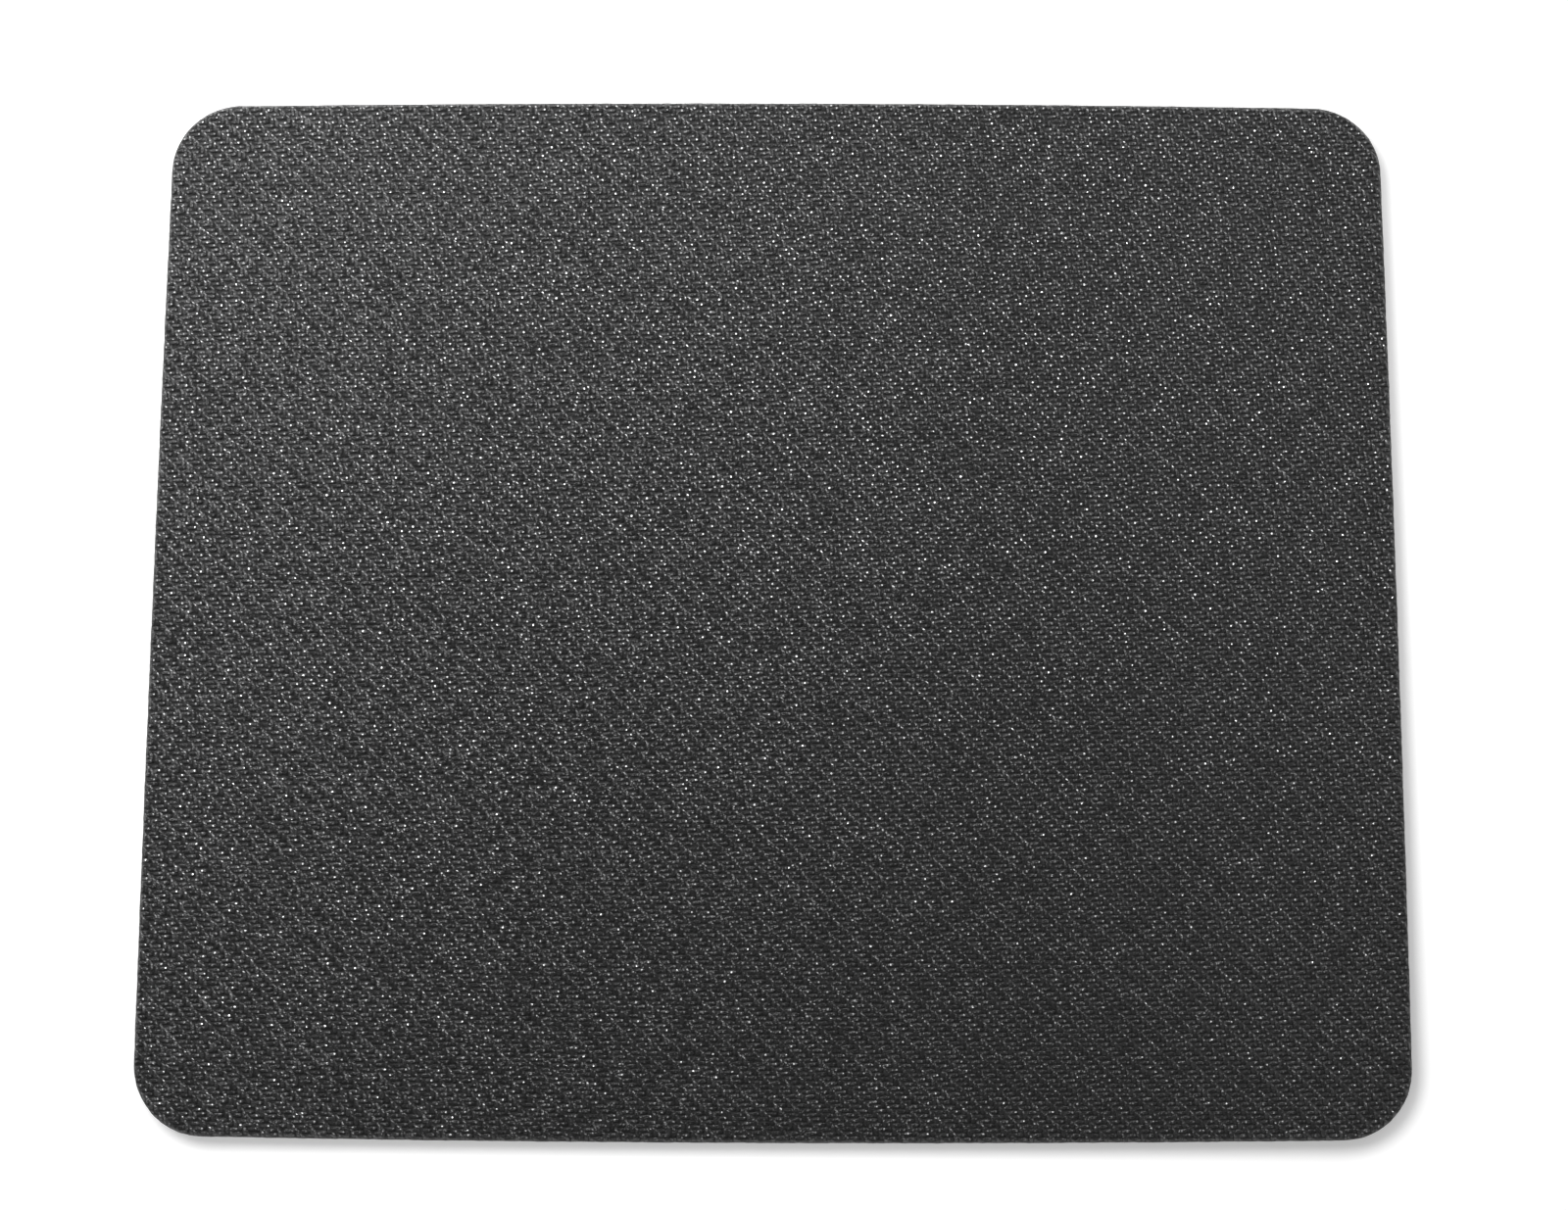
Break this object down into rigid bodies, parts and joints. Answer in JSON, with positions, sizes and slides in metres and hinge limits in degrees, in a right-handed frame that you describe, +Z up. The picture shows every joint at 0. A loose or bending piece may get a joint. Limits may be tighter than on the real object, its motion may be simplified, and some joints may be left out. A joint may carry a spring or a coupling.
{
  "type": "mouse pad",
  "caption": "Flat rounded-rectangle mouse pad of bonded sheets: a charcoal twill cloth face with a rolled rim, a sponge rubber core and a non-slip rubber sole.",
  "frame": {"origin": "centre of the underside, where the pad lies on the desk", "axes": "+X along the long edges, +Y towards the edge that is away from the user, +Z up out of the cloth face"},
  "size_m": [0.235, 0.1974, 0.005],
  "materials": {
    "sole_rubber": "matt embossed rubber",
    "bond_film": "smooth hot-melt film, satin at the cut",
    "sponge_rubber": "matt fine-celled sponge",
    "twill_cloth": "woven twill with small bright glints on the yarns"
  },
  "bodies": {
    "root": {"grip_sole": "sole_rubber", "sole_bond_film": "bond_film", "foam_core": "sponge_rubber", "cloth_bond_film": "bond_film", "cloth_face": "twill_cloth"}
  },
  "joints": []
}
